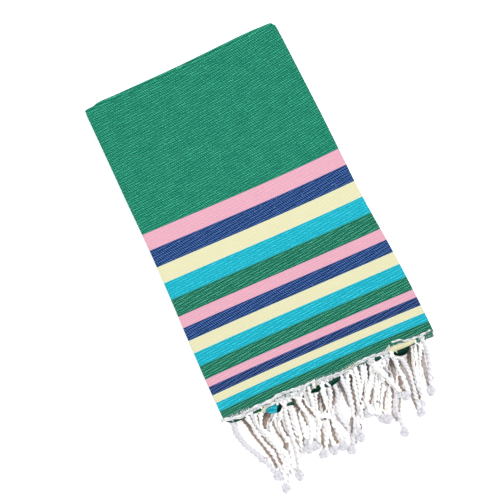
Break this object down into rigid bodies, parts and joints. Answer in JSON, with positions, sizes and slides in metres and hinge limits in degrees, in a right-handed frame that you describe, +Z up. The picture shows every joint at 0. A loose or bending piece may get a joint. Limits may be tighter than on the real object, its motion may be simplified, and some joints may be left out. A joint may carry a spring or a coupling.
{
  "type": "folded turkish towel",
  "caption": "Flat-woven cotton towel folded across and along into a flat stack, with a striped end and twisted, knotted fringe at one edge.",
  "frame": {"origin": "on the floor, under the middle of the outline of cloth and fringe together", "axes": "+Z up, +Y towards the folded edge, -Y towards the fringe, X across the towel"},
  "size_m": [0.2624, 0.4968, 0.023],
  "materials": {
    "striped_cotton": "matte flat weave: green field, bands of pink, navy, cream, turquoise and green",
    "fringe_cotton": "matte twisted white cotton"
  },
  "bodies": {
    "root": {"cloth": "striped_cotton", "upper_fringe": "fringe_cotton", "lower_fringe": "fringe_cotton"}
  },
  "joints": []
}
